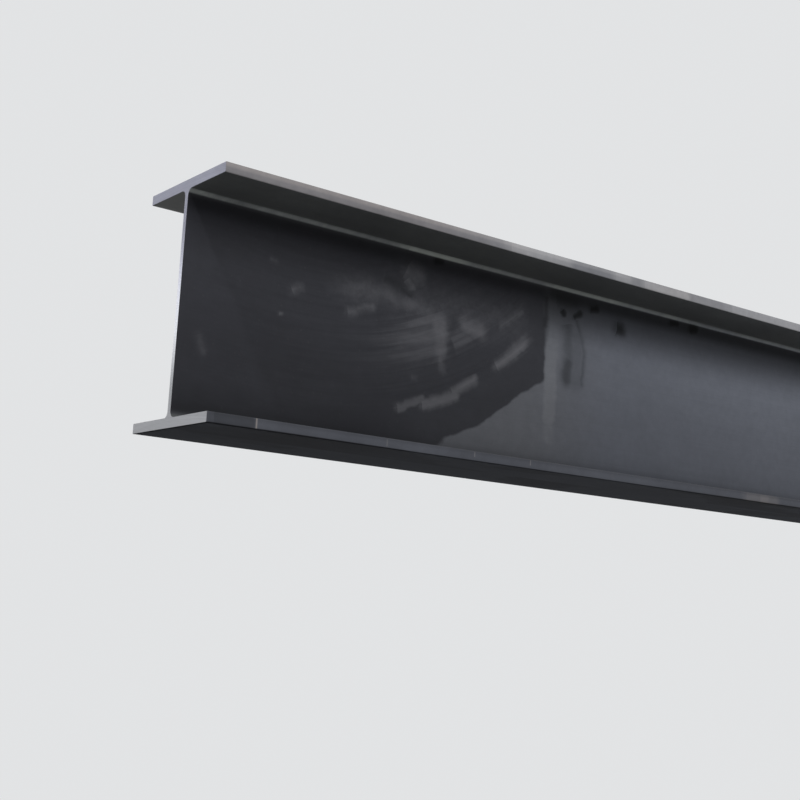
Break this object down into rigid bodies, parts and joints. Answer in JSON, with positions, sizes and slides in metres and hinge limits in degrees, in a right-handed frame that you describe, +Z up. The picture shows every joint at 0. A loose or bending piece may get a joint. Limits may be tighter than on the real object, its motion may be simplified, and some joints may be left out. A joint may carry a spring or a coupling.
{
  "type": "steel h-beam",
  "caption": "Straight hot-rolled wide-flange steel H-beam of stock length, with filleted web-to-flange roots and square sawn ends, for columns, girders and frames.",
  "frame": {"origin": "under the middle of the beam, on the lower flange's outer face, which it lies on", "axes": "+X along the beam, +Y across the flanges, +Z up the web"},
  "size_m": [6, 0.302, 0.494],
  "materials": {
    "mill_scale_steel": "satin"
  },
  "bodies": {
    "root": {"h_beam": "mill_scale_steel"}
  },
  "joints": []
}
